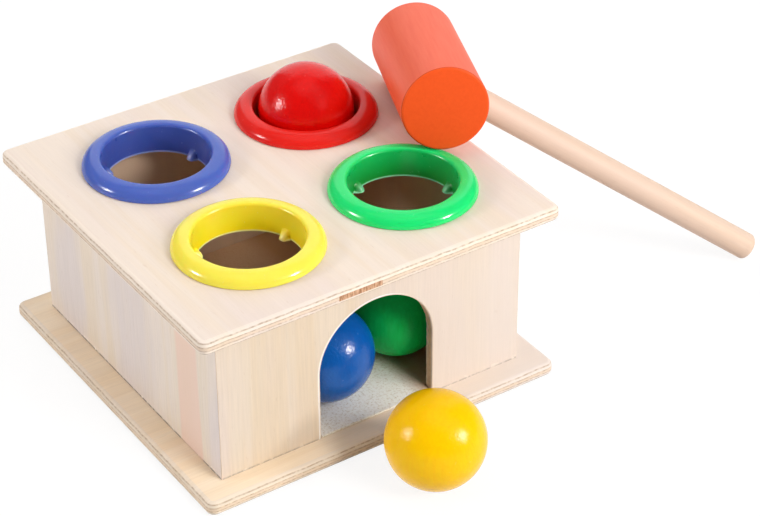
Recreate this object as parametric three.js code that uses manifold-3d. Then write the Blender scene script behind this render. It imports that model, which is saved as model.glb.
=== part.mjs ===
// Ball pounding box: a plywood box with an arch in its front, four moulded rings in its top,
// four painted balls and a wooden hammer that leans on the box.
// Millimetres, +Z up. The origin is the middle of the base plate's underside. The arch faces -Y.

import * as THREE from 'three';
import { mergeVertices } from 'three/addons/utils/BufferGeometryUtils.js';
import Module from 'manifold-3d';

// Gap between pieces that are glued, pressed in or laid on each other
const FIT = 0.3;

// Balls, which set the size of everything they pass through
const BALL_D = 35;

// Rings: a rounded flange lies on the top plate and a sleeve goes down through it
const BORE_PLAY = 1;
const SLEEVE_WALL = 1.4;
const SLEEVE_BELOW = 1.2;
const FLANGE_WIDTH = 7.6;
const FLANGE_HEIGHT = 4.2;
const BORE_FLARE = 0.8;
const CROWN_INSET = 1.5;
const CROWN_DROP = 1.1;
const RING_SPACE = 9.8;

// Nubs at the foot of each sleeve, which hold a ball up until it is struck
const NUB_COUNT = 3;
const NUB_REACH = 2.3;
const NUB_RISE = 3.6;
const NUB_WIDTH = 4.2;
const NUB_TIP = 0.6;
const NUB_EASE = 0.4;
const NUB_ROOT = 0.8;

// Walls: four panels of the same size that meet in mitres
const WALL_HEIGHT = 59.7;
const WALL_THICKNESS = 4;
const WALL_EASE = 0.6;
const WALL_TO_SLEEVE = 6;

// Base plate and top plate, which stand out past the walls
const PLATE_THICKNESS = 5.3;
const PLATE_CORNER = 3.1;
const PLATE_ROUND = 1.8;
const SIDE_OVERHANG = 10.1;
const FRONT_OVERHANG = 9.6;

// Arch in the front panel: straight jambs under a half circle
const ARCH_PLAY = 10.7;
const ARCH_JAMB = 25.7;

// The arch and the rings stand this far right of the box's middle
const OFFSET = 1.4;

// Fibreboard sheet on the floor of the box
const LINER_THICKNESS = 0.8;

// Brads up through the base plate into the walls, two to a wall
const BRAD_D = 1.2;
const BRAD_LENGTH = 18;
const BRAD_POINT = 1.5;
const BRAD_HEAD_D = 2.8;
const BRAD_HEAD_HEIGHT = 0.8;
const BRAD_SINK = 0.3;
const BRAD_INSET = 18.5;

// Where the loose balls lie: gap to a neighbour, and the direction from it in degrees
const BLUE_TO_JAMB = 3.1;
const BLUE_BEARING = 47.1;
const GREEN_TO_BLUE = 1.4;
const GREEN_BEARING = 13.7;
const YELLOW_TO_BASE = 7.7;

// Hammer: its cylinder head leans on a ring and on the top plate's rim, with its near end this far along
// its bearing from the ring's middle and this far aside; its dowel handle slopes down to the floor
const HEAD_D = 31.2;
const HEAD_LENGTH = 61.4;
const HEAD_ROUND = 0.9;
const HEAD_ALONG = 17;
const HEAD_ASIDE = 18.1;
const HEAD_BEARING = 66;
const HANDLE_D = 10.2;
const HANDLE_REACH = 148.8;
const HANDLE_ROUND = 2;
const SOCKET_DEPTH = 22;

// Facets round a full turn
const TURN = 40;

// Sizes and places that follow
const BALL_R = BALL_D / 2;
const BORE_R = BALL_R + BORE_PLAY;
const SLEEVE_R = BORE_R + SLEEVE_WALL;
const MOUTH_R = BORE_R + BORE_FLARE;
const CROWN_R = MOUTH_R + CROWN_INSET;
const FLANGE_R = BORE_R + FLANGE_WIDTH;
const NUB_TIP_R = BORE_R - NUB_REACH + NUB_TIP;
const RING_PITCH = 2 * FLANGE_R + RING_SPACE;
const WALL_INSIDE = RING_PITCH / 2 + SLEEVE_R + WALL_TO_SLEEVE;
const WALL_OUTSIDE = WALL_INSIDE + WALL_THICKNESS;
const PLATE_X = WALL_OUTSIDE + SIDE_OVERHANG;
const PLATE_Y = WALL_OUTSIDE + FRONT_OVERHANG;
const ARCH_R = (BALL_D + ARCH_PLAY) / 2;
const HEAD_R = HEAD_D / 2;
const HANDLE_R = HANDLE_D / 2;
const SOCKET_END = SOCKET_DEPTH - HEAD_R;
const WALL_FOOT = PLATE_THICKNESS + FIT;
const LINER_TOP = PLATE_THICKNESS + FIT + LINER_THICKNESS;
const TOP_UNDERSIDE = WALL_FOOT + WALL_HEIGHT + FIT;
const TOP_SURFACE = TOP_UNDERSIDE + PLATE_THICKNESS;
const SLEEVE_FOOT = -(FIT + PLATE_THICKNESS + SLEEVE_BELOW);
const QUARTER = Math.PI / 2;

const { degToRad } = THREE.MathUtils;
const wasm = await Module();
wasm.setup();

function toSolid(geometry) {
  const bare = geometry.clone();
  bare.deleteAttribute('normal');
  bare.deleteAttribute('uv');
  const merged = mergeVertices(bare, 1e-4);
  return new wasm.Manifold(new wasm.Mesh({
    numProp: 3,
    vertProperties: new Float32Array(merged.attributes.position.array),
    triVerts: new Uint32Array(merged.index.array),
  }));
}

function toMesh(name, solid, color, roughness, metalness = 0) {
  const { vertProperties, triVerts } = solid.getMesh();
  const geometry = new THREE.BufferGeometry();
  geometry.setAttribute('position', new THREE.BufferAttribute(new Float32Array(vertProperties), 3));
  geometry.setIndex(new THREE.BufferAttribute(new Uint32Array(triVerts), 1));
  geometry.computeVertexNormals();
  const mesh = new THREE.Mesh(geometry, new THREE.MeshStandardMaterial({ color, roughness, metalness }));
  mesh.name = name;
  return mesh;
}

// A profile of radius and height, turned about the Z axis
function turned(points, segments = TURN) {
  return new THREE.LatheGeometry(points, segments).rotateX(QUARTER);
}

// An upright round cutter between two heights
function drill({ x, y }, radius, low, high, segments) {
  const cutter = new THREE.CylinderGeometry(radius, radius, high - low, segments);
  return toSolid(cutter.rotateX(QUARTER).translate(x, y, (low + high) / 2));
}

// An outline raised to a thickness; the rims of both faces can be rounded over
function raised(outline, thickness, curveSegments = 1, round = 0, bevelSegments = 1) {
  const geometry = new THREE.ExtrudeGeometry(outline, {
    depth: thickness - 2 * round,
    bevelEnabled: round > 0,
    bevelThickness: round,
    bevelSize: round,
    bevelOffset: -round,
    bevelSegments,
    curveSegments,
  });
  return geometry.translate(0, 0, round);
}

// Plates: a rectangle with rounded corners, eased all round like sanded plywood

function plateBlank() {
  const x = PLATE_X - PLATE_CORNER;
  const y = PLATE_Y - PLATE_CORNER;
  const outline = new THREE.Shape();
  outline.absarc(x, -y, PLATE_CORNER, -QUARTER, 0);
  outline.absarc(x, y, PLATE_CORNER, 0, QUARTER);
  outline.absarc(-x, y, PLATE_CORNER, QUARTER, 2 * QUARTER);
  outline.absarc(-x, -y, PLATE_CORNER, 2 * QUARTER, 3 * QUARTER);
  outline.closePath();
  return toSolid(raised(outline, PLATE_THICKNESS, 3, PLATE_ROUND, 4));
}

function basePlate(brads) {
  let solid = plateBlank();
  const headRoom = BRAD_SINK + BRAD_HEAD_HEIGHT + FIT;
  for (const place of brads) {
    solid = solid.subtract(drill(place, BRAD_D / 2 + FIT, -1, PLATE_THICKNESS + 1, 8));
    solid = solid.subtract(drill(place, BRAD_HEAD_D / 2 + FIT, -1, headRoom, 12));
  }
  return toMesh('base_plate', solid, 0xe9d3b6, 0.6);
}

function topPlate(rings) {
  let solid = plateBlank();
  for (const place of rings) {
    solid = solid.subtract(drill(place, SLEEVE_R + FIT, -1, PLATE_THICKNESS + 1, TURN));
  }
  const plate = toMesh('top_plate', solid, 0xf0dfcc, 0.6);
  plate.position.z = TOP_UNDERSIDE;
  return plate;
}

// Walls: the outline of the face is crossed with the mitred plan.
// A panel's outer face lies on y = -WALL_OUTSIDE until the panel is turned to its own side.

function panelFace(arched) {
  const face = new THREE.Shape();
  face.moveTo(-WALL_OUTSIDE, 0);
  if (arched) {
    face.lineTo(OFFSET - ARCH_R, 0);
    face.lineTo(OFFSET - ARCH_R, ARCH_JAMB);
    face.absarc(OFFSET, ARCH_JAMB, ARCH_R, 2 * QUARTER, 0, true);
    face.lineTo(OFFSET + ARCH_R, 0);
  }
  face.lineTo(WALL_OUTSIDE, 0);
  face.lineTo(WALL_OUTSIDE, WALL_HEIGHT);
  face.lineTo(-WALL_OUTSIDE, WALL_HEIGHT);
  face.closePath();
  const geometry = raised(face, WALL_THICKNESS, 14, WALL_EASE, 2);
  return toSolid(geometry.rotateX(QUARTER).translate(0, -WALL_INSIDE, 0));
}

function mitredPlan() {
  const play = FIT * Math.SQRT1_2;
  const outer = WALL_OUTSIDE + 1;
  const inner = WALL_INSIDE - 1;
  const plan = new THREE.Shape();
  plan.moveTo(play - outer, -outer);
  plan.lineTo(outer - play, -outer);
  plan.lineTo(inner - play, -inner);
  plan.lineTo(play - inner, -inner);
  plan.closePath();
  return toSolid(raised(plan, WALL_HEIGHT + 2).translate(0, 0, -1));
}

function bradsOfFront() {
  const along = WALL_OUTSIDE - BRAD_INSET;
  const across = WALL_THICKNESS / 2 - WALL_OUTSIDE;
  return [new THREE.Vector2(-along, across), new THREE.Vector2(along, across)];
}

function wallPanel({ name, turn, arched, color }) {
  let solid = panelFace(arched).intersect(mitredPlan());
  const bradTip = BRAD_SINK + BRAD_LENGTH + FIT - WALL_FOOT;
  for (const place of bradsOfFront()) {
    solid = solid.subtract(drill(place, BRAD_D / 2 + FIT, -1, bradTip, 8));
  }
  const panel = toMesh(name, solid, color, 0.62);
  panel.position.z = WALL_FOOT;
  panel.rotation.z = turn;
  return panel;
}

function brad(name, { x, y }) {
  const shank = BRAD_D / 2;
  const head = BRAD_HEAD_D / 2;
  const profile = new THREE.Path();
  profile.moveTo(0, 0);
  profile.lineTo(head, 0);
  profile.lineTo(head, BRAD_HEAD_HEIGHT);
  profile.lineTo(shank, BRAD_HEAD_HEIGHT);
  profile.lineTo(shank, BRAD_LENGTH - BRAD_POINT);
  profile.lineTo(0, BRAD_LENGTH);
  const nail = toMesh(name, toSolid(turned(profile.getPoints(), 8)), 0xb9bcc0, 0.35, 1);
  nail.position.set(x, y, BRAD_SINK);
  return nail;
}

// The sheet fills the floor between the walls and runs out through the arch to the front face
function floorLiner() {
  const side = WALL_INSIDE - FIT;
  const tongue = ARCH_R - FIT;
  const sheet = new THREE.Shape();
  sheet.moveTo(-side, -side);
  sheet.lineTo(OFFSET - tongue, -side);
  sheet.lineTo(OFFSET - tongue, -WALL_OUTSIDE);
  sheet.lineTo(OFFSET + tongue, -WALL_OUTSIDE);
  sheet.lineTo(OFFSET + tongue, -side);
  sheet.lineTo(side, -side);
  sheet.lineTo(side, side);
  sheet.lineTo(-side, side);
  sheet.closePath();
  const liner = toMesh('floor_liner', toSolid(raised(sheet, LINER_THICKNESS)), 0xb9aa94, 0.85);
  liner.position.z = PLATE_THICKNESS + FIT;
  return liner;
}

// Rings: flange and sleeve are one turned profile, whose zero is the flange's underside

function ringProfile() {
  const profile = new THREE.Path();
  profile.moveTo(BORE_R, SLEEVE_FOOT);
  profile.lineTo(SLEEVE_R, SLEEVE_FOOT);
  profile.lineTo(SLEEVE_R, 0);
  profile.lineTo(FLANGE_R, 0);
  profile.absellipse(CROWN_R, 0, FLANGE_R - CROWN_R, FLANGE_HEIGHT, 0, QUARTER);
  profile.absellipse(CROWN_R, FLANGE_HEIGHT - CROWN_DROP, CROWN_INSET, CROWN_DROP, QUARTER, 2 * QUARTER);
  profile.closePath();
  return profile.getPoints(3);
}

// A nub is a wedge: its top slopes down from the bore and runs into a rounded tip
function nub(angle) {
  const root = BORE_R + NUB_ROOT;
  const run = root - NUB_TIP_R;
  const rise = NUB_RISE - NUB_TIP;
  const slope = Math.atan2(rise, run) - Math.asin(NUB_TIP / Math.hypot(rise, run));
  const wedge = new THREE.Shape();
  wedge.moveTo(root, 0);
  wedge.lineTo(root, NUB_RISE);
  wedge.absarc(NUB_TIP_R, NUB_TIP, NUB_TIP, QUARTER + slope, 3 * QUARTER);
  wedge.closePath();
  const geometry = raised(wedge, NUB_WIDTH, 2, NUB_EASE).translate(0, SLEEVE_FOOT, -NUB_WIDTH / 2);
  return toSolid(geometry.rotateX(QUARTER).rotateZ(angle));
}

function ring({ name, x, y, nubs, color }) {
  let solid = toSolid(turned(ringProfile()));
  for (let i = 0; i < NUB_COUNT; i += 1) {
    solid = solid.add(nub(degToRad(nubs + (360 * i) / NUB_COUNT)));
  }
  const moulding = toMesh(name, solid, color, 0.22);
  moulding.position.set(x, y, TOP_SURFACE + FIT);
  return moulding;
}

// Balls

function ball(name, place, color) {
  const geometry = new THREE.SphereGeometry(BALL_R, 26, 16).rotateX(QUARTER);
  const sphere = toMesh(name, toSolid(geometry), color, 0.25);
  sphere.position.copy(place);
  return sphere;
}

// A held ball rests on the rounded tips of the nubs
function heldIn({ x, y }) {
  const lift = Math.sqrt((BALL_R + NUB_TIP + FIT) ** 2 - NUB_TIP_R ** 2);
  return new THREE.Vector3(x, y, TOP_SURFACE + FIT + SLEEVE_FOOT + NUB_TIP + lift);
}

function step(from, distance, bearing) {
  const angle = degToRad(bearing);
  return new THREE.Vector3(Math.cos(angle), Math.sin(angle), 0).multiplyScalar(distance).add(from);
}

// Hammer, with its head along local X and its handle down local -Z

function hammerHead() {
  const end = HEAD_LENGTH / 2;
  const rim = HEAD_R - HEAD_ROUND;
  const profile = new THREE.Path();
  profile.moveTo(0, -end);
  profile.lineTo(rim, -end);
  profile.absarc(rim, HEAD_ROUND - end, HEAD_ROUND, -QUARTER, 0);
  profile.absarc(rim, end - HEAD_ROUND, HEAD_ROUND, 0, QUARTER);
  profile.lineTo(0, end);
  const cylinder = toSolid(new THREE.LatheGeometry(profile.getPoints(2), TURN).rotateZ(-QUARTER));
  const socket = drill({ x: 0, y: 0 }, HANDLE_R + FIT, -HEAD_R - 1, SOCKET_END, 24);
  return toMesh('hammer_head', cylinder.subtract(socket), 0xf4602f, 0.45);
}

function hammerHandle() {
  const profile = new THREE.Path();
  profile.moveTo(0, -HANDLE_REACH);
  profile.lineTo(HANDLE_R - HANDLE_ROUND, -HANDLE_REACH);
  profile.absarc(HANDLE_R - HANDLE_ROUND, HANDLE_ROUND - HANDLE_REACH, HANDLE_ROUND, -QUARTER, 0);
  profile.lineTo(HANDLE_R, SOCKET_END - FIT);
  profile.lineTo(0, SOCKET_END - FIT);
  return toMesh('hammer_handle', toSolid(turned(profile.getPoints(3), 24)), 0xf2d3b0, 0.55);
}

// Points of the ring's flange as distances along and aside of the head's near end, and height
function flangePoints() {
  const points = [];
  for (let turn = 0; turn < 360; turn += 3) {
    for (let rise = 0; rise <= 90; rise += 5) {
      const radius = CROWN_R + (FLANGE_R - CROWN_R) * Math.cos(degToRad(rise));
      const height = FIT + FLANGE_HEIGHT * Math.sin(degToRad(rise));
      const along = radius * Math.cos(degToRad(turn)) - HEAD_ALONG;
      const aside = radius * Math.sin(degToRad(turn)) - HEAD_ASIDE;
      points.push(new THREE.Vector3(along, aside, TOP_SURFACE + height));
    }
  }
  return points;
}

// Points of the top plate's rounded right rim in the same terms
function rimPoints(nearEnd) {
  const points = [];
  const up = new THREE.Vector3(0, 0, 1);
  for (let y = -PLATE_Y; y <= PLATE_Y; y += 1) {
    for (let turn = 0; turn <= 90; turn += 10) {
      const x = PLATE_X - PLATE_ROUND + PLATE_ROUND * Math.sin(degToRad(turn));
      const drop = PLATE_ROUND - PLATE_ROUND * Math.cos(degToRad(turn));
      const point = new THREE.Vector3(x - nearEnd.x, y - nearEnd.y, TOP_SURFACE - drop);
      points.push(point.applyAxisAngle(up, -degToRad(HEAD_BEARING)));
    }
  }
  return points;
}

// Height at which the tilted head's axis starts, at its near end, to lie just clear of the points
function axisHeight(points, tilt) {
  let height = 0;
  for (const { x: along, y: aside, z } of points) {
    const below = Math.sqrt(Math.max((HEAD_R + FIT) ** 2 - aside ** 2, 0));
    if (below > 0 && along > -below * Math.sin(tilt) && along < HEAD_LENGTH) {
      height = Math.max(height, z + along * Math.tan(tilt) + below / Math.cos(tilt));
    }
  }
  return height;
}

// Tilt at which the head touches the ring and the rim at once
function restingTilt(flange, rim) {
  let low = 0;
  let high = QUARTER / 2;
  for (let i = 0; i < 40; i += 1) {
    const tilt = (low + high) / 2;
    if (axisHeight(flange, tilt) > axisHeight(rim, tilt)) {
      low = tilt;
    } else {
      high = tilt;
    }
  }
  return high;
}

function hammer(ringPlace) {
  const nearEnd = step(step(ringPlace, HEAD_ASIDE, HEAD_BEARING - 90), HEAD_ALONG, HEAD_BEARING);
  const flange = flangePoints();
  const rim = rimPoints(nearEnd);
  const tilt = restingTilt(flange, rim);
  const middle = step(nearEnd, (Math.cos(tilt) * HEAD_LENGTH) / 2, HEAD_BEARING);
  middle.z = axisHeight(rim, tilt) - (Math.sin(tilt) * HEAD_LENGTH) / 2;
  const slope = Math.asin(middle.z / Math.hypot(HANDLE_REACH, HANDLE_R)) - Math.atan(HANDLE_R / HANDLE_REACH);
  const roll = Math.asin(Math.sin(slope) / Math.cos(tilt));
  const group = new THREE.Group();
  group.add(hammerHead(), hammerHandle());
  group.position.copy(middle);
  group.rotation.set(roll - QUARTER, tilt, degToRad(HEAD_BEARING), 'ZYX');
  return group;
}

// Assembly

const WALLS = [
  { name: 'front_panel', turn: 0, arched: true, color: 0xf0ddc4 },
  { name: 'right_panel', turn: QUARTER, arched: false, color: 0xecd8be },
  { name: 'back_panel', turn: 2 * QUARTER, arched: false, color: 0xecd8be },
  { name: 'left_panel', turn: 3 * QUARTER, arched: false, color: 0xe6d3bd },
];

const NEAR = RING_PITCH / 2;
const BLUE_RING = { name: 'blue_ring', x: OFFSET - NEAR, y: NEAR, z: 0, nubs: 17, color: 0x3d5bbd };
const RED_RING = { name: 'red_ring', x: OFFSET + NEAR, y: NEAR, z: 0, nubs: 40, color: 0xd8201c };
const GREEN_RING = { name: 'green_ring', x: OFFSET + NEAR, y: -NEAR, z: 0, nubs: -5, color: 0x16d061 };
const YELLOW_RING = { name: 'yellow_ring', x: OFFSET - NEAR, y: -NEAR, z: 0, nubs: 17, color: 0xfbee3c };
const RINGS = [BLUE_RING, RED_RING, GREEN_RING, YELLOW_RING];

const middle = new THREE.Vector2();
const brads = WALLS.flatMap(({ turn }) => bradsOfFront().map((place) => place.rotateAround(middle, turn)));

const jamb = new THREE.Vector3(OFFSET - ARCH_R, -WALL_INSIDE, LINER_TOP + FIT + BALL_R);
const blueBall = step(jamb, BALL_R + BLUE_TO_JAMB, BLUE_BEARING);
const greenBall = step(blueBall, BALL_D + GREEN_TO_BLUE, GREEN_BEARING);
const yellowBall = new THREE.Vector3(OFFSET, -PLATE_Y - YELLOW_TO_BASE - BALL_R, BALL_R);

const box = new THREE.Group();
box.add(basePlate(brads), floorLiner(), ...WALLS.map(wallPanel), topPlate(RINGS));
box.add(...RINGS.map(ring));
box.add(...brads.map((place, i) => brad(`brad_${i + 1}`, place)));
box.add(ball('red_ball', heldIn(RED_RING), 0xd3130f));
box.add(ball('blue_ball', blueBall, 0x1f5fb4));
box.add(ball('green_ball', greenBall, 0x0f8a3c));
box.add(ball('yellow_ball', yellowBall, 0xfdc70a));
box.add(hammer(GREEN_RING));

export default box;
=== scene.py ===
# %% [markdown]
# # A ball pounding box
# A child's pounding box is a plywood box with an arch in front, moulded rings in its top, painted
# wooden balls and a small hammer. The CAD model is loaded first and stays as a fixed frame: each
# piece below takes its place and size from a CAD node and moves with that node's body.

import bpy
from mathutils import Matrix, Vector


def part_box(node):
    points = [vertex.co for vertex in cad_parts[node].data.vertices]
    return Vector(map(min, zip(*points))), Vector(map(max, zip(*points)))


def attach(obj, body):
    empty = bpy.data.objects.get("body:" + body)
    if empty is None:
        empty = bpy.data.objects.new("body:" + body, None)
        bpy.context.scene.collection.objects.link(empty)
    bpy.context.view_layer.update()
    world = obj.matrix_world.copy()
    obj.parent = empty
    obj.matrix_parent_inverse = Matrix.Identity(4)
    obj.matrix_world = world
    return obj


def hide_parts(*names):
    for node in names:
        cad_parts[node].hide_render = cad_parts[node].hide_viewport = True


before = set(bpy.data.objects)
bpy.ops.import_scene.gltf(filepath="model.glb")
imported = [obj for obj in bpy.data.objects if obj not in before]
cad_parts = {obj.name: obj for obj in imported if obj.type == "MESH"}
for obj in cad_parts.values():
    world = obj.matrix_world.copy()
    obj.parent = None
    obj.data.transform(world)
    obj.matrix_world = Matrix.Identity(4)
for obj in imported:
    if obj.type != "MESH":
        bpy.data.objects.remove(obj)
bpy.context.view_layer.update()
print("CAD nodes:", len(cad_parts))

# %% Tools
import math

import bmesh
import bpy
from mathutils import Matrix, Vector, noise

MM = 0.001
TINY = 1e-6
scene = bpy.context.scene
scene.view_settings.view_transform = "Standard"
print("view transform:", scene.view_settings.view_transform)

# %% [markdown]
# ## Camera
# The box is seen from in front and to the left, from above the height of its top, with a long lens
# that keeps the sides nearly parallel. A camera's own axes are right, up and back, so its rotation is
# built from those three directions; a fraction of a degree of roll finishes it.

# %% Camera
FOCAL_LENGTH_PIXELS = 2390.4
IMAGE_WIDTH_PIXELS = 760
SENSOR_WIDTH = 36
CAMERA_PLACE = (-0.35899, -0.60275, 0.51332)
azimuth, elevation, roll = (math.radians(angle) for angle in (-33.73, 34.21, -0.31))

lens = bpy.data.cameras.new("studio_camera")
lens.sensor_width = SENSOR_WIDTH
lens.lens = FOCAL_LENGTH_PIXELS / IMAGE_WIDTH_PIXELS * SENSOR_WIDTH
lens.clip_start = 0.05
back = Vector((
    math.sin(azimuth) * math.cos(elevation),
    -math.cos(azimuth) * math.cos(elevation),
    math.sin(elevation),
))
right = Vector((math.cos(azimuth), math.sin(azimuth), 0))
up = back.cross(right)
camera = bpy.data.objects.new("studio_camera", lens)
camera.matrix_world = (
    Matrix.Translation(CAMERA_PLACE)
    @ Matrix((right, up, back)).transposed().to_4x4()
    @ Matrix.Rotation(roll, 4, "Z")
)
scene.collection.objects.link(camera)
scene.camera = camera
print("lens", round(lens.lens, 1), "mm")

# %% [markdown]
# ## Nodes and colours
# Colours are written as the hex values that a screen shows, and one function turns them into the
# linear light that a shader works in. A second small function adds any node: its inputs are given by
# name or number, an input that is another node's socket is linked, and an output is given back. A Mix
# node has sockets of the same names for numbers and colours, so its own go by number: for numbers 2 and
# 3 in and 0 out, for colours 6 and 7 in and 2 out.

# %% Node helper
COLORS = {"out": 2, "data_type": "RGBA"}


def linear(code):
    channels = [int(code[i:i + 2], 16) / 255 for i in (1, 3, 5)]
    return [c / 12.92 if c <= 0.04045 else ((c + 0.055) / 1.055) ** 2.4 for c in channels] + [1]


def add(tree, kind, inputs=None, out=0, **settings):
    """Add a shader node, set or link its inputs, and give back one of its outputs, or all for None."""
    node = tree.nodes.new("ShaderNode" + kind)
    for name, value in settings.items():
        setattr(node, name, value)
    for name, value in (inputs or {}).items():
        if isinstance(value, bpy.types.NodeSocket):
            tree.links.new(value, node.inputs[name])
        elif isinstance(value, str):
            node.inputs[name].default_value = linear(value)
        else:
            node.inputs[name].default_value = value
    return node.outputs if out is None else node.outputs[out]


def new_material(name, **constants):
    """A new material, its node tree, its shader and the place on the piece that its patterns read."""
    material = bpy.data.materials.new(name)
    material.use_nodes = True
    tree = material.node_tree
    shader = tree.nodes["Principled BSDF"]
    for socket, value in constants.items():
        shader.inputs[socket.replace("_", " ")].default_value = value
    where = add(tree, "TexCoord", out="Object")
    return material, tree, shader, where


def dress(tree, shader, tone, height, strength, distance, dull=None):
    """Link a colour, a pattern of heights as relief and, where it varies, a roughness to the shader."""
    bump = add(tree, "Bump", {"Height": height, "Strength": strength, "Distance": distance})
    tree.links.new(tone, shader.inputs["Base Color"])
    tree.links.new(bump, shader.inputs["Normal"])
    if dull is not None:
        tree.links.new(dull, shader.inputs["Roughness"])


print("white is", linear("#FFFFFF")[:3])

# %% [markdown]
# ## Studio
# The toy stands on a white sweep. To the camera and to reflections the floor glows almost white and
# still takes a soft shadow; to bounced light it is an ordinary pale floor, so it does not lift the
# colours of the toy. It lies a hair below the toy, so that no two faces share a plane. The room above
# is a plain grey fill light.

# %% Floor and world
FLOOR_REACH = 4
FLOOR_DROP = 0.2 * MM
FLOOR_GLOW = 0.87
FILL = 0.14


def seen_directly(tree):
    path = add(tree, "LightPath", out=None)
    seen = path["Is Camera Ray"]
    for ray in ("Is Glossy Ray", "Is Transmission Ray"):
        seen = add(tree, "Math", {0: seen, 1: path[ray]}, operation="MAXIMUM")
    return seen


# White paper: an empty ground that keeps only the soft shadows
sweep = bpy.data.materials.new("white_sweep")
sweep.use_nodes = True
tree = sweep.node_tree
tree.nodes.remove(tree.nodes["Principled BSDF"])
bounce = add(tree, "BsdfDiffuse", {"Color": "#E6E6E6"})
shadowed = add(tree, "BsdfDiffuse", {"Color": "#707070"})
glow = add(tree, "Emission", {"Color": "#FFFFFF", "Strength": FLOOR_GLOW})
shown = add(tree, "AddShader", {0: shadowed, 1: glow})
paper = add(tree, "MixShader", {0: seen_directly(tree), 1: bounce, 2: shown})
tree.links.new(paper, tree.nodes["Material Output"].inputs["Surface"])

shape = bmesh.new()
lowered = Matrix.Translation((0, 0, -FLOOR_DROP))
bmesh.ops.create_grid(shape, x_segments=1, y_segments=1, size=FLOOR_REACH, matrix=lowered)
floor_mesh = bpy.data.meshes.new("studio_floor")
shape.to_mesh(floor_mesh)
shape.free()
floor_mesh.materials.append(sweep)
studio_floor = bpy.data.objects.new("studio_floor", floor_mesh)
scene.collection.objects.link(studio_floor)

world = scene.world or bpy.data.worlds.new("studio")
scene.world = world
world.use_nodes = True
tree = world.node_tree
tree.nodes.clear()
fill = add(tree, "Background", {"Color": "#FBF8FF", "Strength": FILL})
add(tree, "OutputWorld", {"Surface": fill}, out=None)
print("fill light", FILL)

# %% [markdown]
# Soft boxes light the toy, and the highlights on the balls tell where they stand: one straight above,
# one on the left and a little behind, one in front on the right. A sheet behind the toy gives its tops
# a sheen. Two glint lamps at the places of the left and front boxes give only highlights, so that the
# gloss can be strong while the wood stays even. The wide lamps and the scrim do the opposite: they open
# the shadows under the overhang and inside the arch, and like lamps behind a polarising sheet they leave
# no highlight. Each lamp's power is worked out from the share of full brightness that it gives a white
# card facing it.

# %% Soft boxes
LAMP_AIM = Vector((0.02, -0.01, 0.05))
ABOVE = (0, 0, 1)
LEFT = (-0.867, 0.322, 0.363)
FRONT = (0.51, -0.77, 0.37)


def soft_box(name, direction, distance, size, share, color, highlights=True, lights=True):
    light = bpy.data.lights.new(name, "AREA")
    light.shape = "SQUARE"
    light.size = size
    light.energy = share * math.pi ** 2 * distance ** 2
    light.color = linear(color)[:3]
    lamp = bpy.data.objects.new(name, light)
    aim = Vector(direction).normalized()
    place = Matrix.Translation(aim * distance + LAMP_AIM)
    lamp.matrix_world = place @ aim.to_track_quat("Z", "Y").to_matrix().to_4x4()
    lamp.visible_glossy = highlights
    lamp.visible_diffuse = lights
    scene.collection.objects.link(lamp)
    print(name, round(light.energy, 1), "W")


# Each line gives a direction, distance and size in metres, share of full brightness and colour
soft_box("top_soft_box", ABOVE, 1.6, 1.3, 0.13, "#FFFAF8")
soft_box("left_soft_box", LEFT, 1.3, 0.2, 0.3, "#FFFBF8")
soft_box("front_soft_box", FRONT, 1.3, 0.2, 0.26, "#FFFCF8")
soft_box("left_glint", LEFT, 1.3, 0.2, 0.4, "#FFFBF8", lights=False)
soft_box("front_glint", FRONT, 1.3, 0.2, 0.8, "#FFFCF8", lights=False)
soft_box("back_sheet", (0.5, 0.68, 0.5), 1.6, 1.8, 0.42, "#FFFFFF")
soft_box("back_wide", (-0.3, 0.78, 0.55), 1.6, 0.9, 0.15, "#FFFBF8", highlights=False)
soft_box("left_wide", LEFT, 1.3, 0.9, 0.1, "#FFFBF8", highlights=False)
soft_box("front_wide", (0.205, -0.823, 0.56), 1.3, 0.36, 0.46, "#FFFCF8", highlights=False)
soft_box("front_scrim", (0.3, -0.55, 0.78), 1.6, 1.0, 0.2, "#FFFCFA", highlights=False)

# %% [markdown]
# ## Plywood
# The plates and walls are plywood faced with basswood, a pale and quiet wood. Its fibres are long and
# fine, its tone drifts in slow bands across the grain, and short brown pores run with the fibres. The
# patterns are noise that is stretched along the grain, so one function gives both the colour and the
# height of the fibres for any direction of grain. A wood is four tones: its ground, its warm bands, its
# cool clouds and its pores.

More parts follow.
